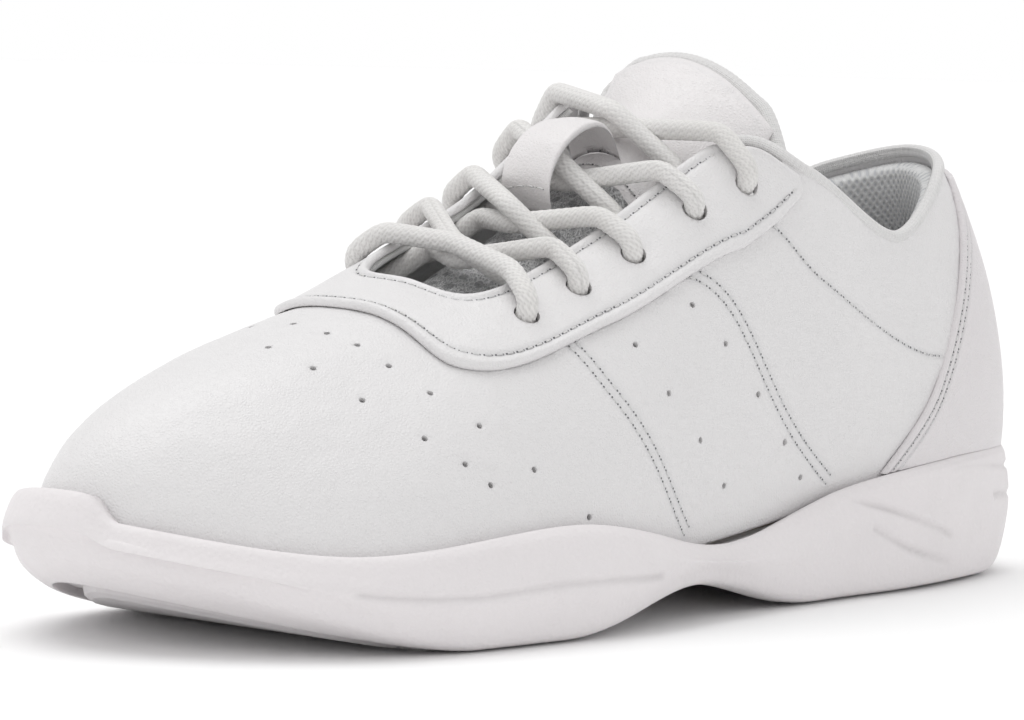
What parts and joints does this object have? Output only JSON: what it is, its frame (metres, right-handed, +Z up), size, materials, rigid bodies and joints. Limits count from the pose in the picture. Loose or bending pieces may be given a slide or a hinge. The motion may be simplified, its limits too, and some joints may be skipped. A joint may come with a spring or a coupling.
{
  "type": "cheer_shoe",
  "caption": "Low lace-up cheer shoe for the left foot: cupped foam sole, white leather upper, padded mesh collar, laced throat and a padded tongue with a lace keeper.",
  "frame": {"origin": "centre of the bounding footprint on the floor, under the arch of the sole", "axes": "+X to the outer side of the left foot, +Y to the heel, +Z up; the toe points to -Y"},
  "size_m": [0.0975, 0.2642, 0.1113],
  "materials": {
    "outsole_rubber": "satin rubber with a fine moulded grain",
    "moulded_foam": "pebbled moulded foam, faint cool tint",
    "shank_steel": "plain spring steel strip",
    "fibre_board": "pressed fibre board",
    "liner_foam": "foam sock liner with a knit face",
    "white_leather": "smooth coated leather, fine grain",
    "stiffener_board": "thermoplastic stiffener sheet",
    "band_leather": "hidden reinforcement leather",
    "lining_fabric": "thin woven lining",
    "padding": "soft open foam padding",
    "spacer_mesh": "light grey dotted spacer mesh",
    "ribbed_binding": "ribbed textile binding",
    "open_mesh": "silvery open knit mesh",
    "tongue_leather": "soft padded leather with folded edges",
    "lace_cord": "round braided cord, warm white",
    "aglet_film": "clear wrapped film tip"
  },
  "bodies": {
    "shoe": {"outsole_forefoot": "outsole_rubber", "outsole_heel": "outsole_rubber", "midsole": "moulded_foam", "shank": "shank_steel", "insole_board": "fibre_board", "upper_shell": "white_leather", "heel_overlay": "white_leather", "heel_stiffener": "stiffener_board", "toe_puff": "stiffener_board", "saddle_band_outer": "band_leather", "saddle_band_inner": "band_leather", "upper_lining": "lining_fabric", "collar_foam": "padding", "collar_lining": "spacer_mesh", "collar_binding": "ribbed_binding", "eyestay": "white_leather", "eyestay_backing": "lining_fabric", "lace": "lace_cord", "aglets": "aglet_film"},
    "tongue": {"tongue_mesh": "open_mesh", "tongue_lining": "spacer_mesh", "tongue_foam": "padding", "tongue_top": "tongue_leather", "tongue_binding": "ribbed_binding", "lace_keeper": "tongue_leather"},
    "liner": {"sock_liner": "liner_foam"}
  },
  "joints": [
    {"name": "tongue_swing", "type": "hinge", "parent": "shoe", "child": "tongue", "pos_m": [0, -0.058, 0.0515], "axis": [1, 0, 0], "range_deg": [-1.5, 0], "stiffness_Nm_per_rad": 0.6},
    {"name": "sock_liner_lift", "type": "hinge", "parent": "shoe", "child": "liner", "pos_m": [0, -0.12, 0.0182], "axis": [1, 0, 0], "range_deg": [0, 3]}
  ]
}
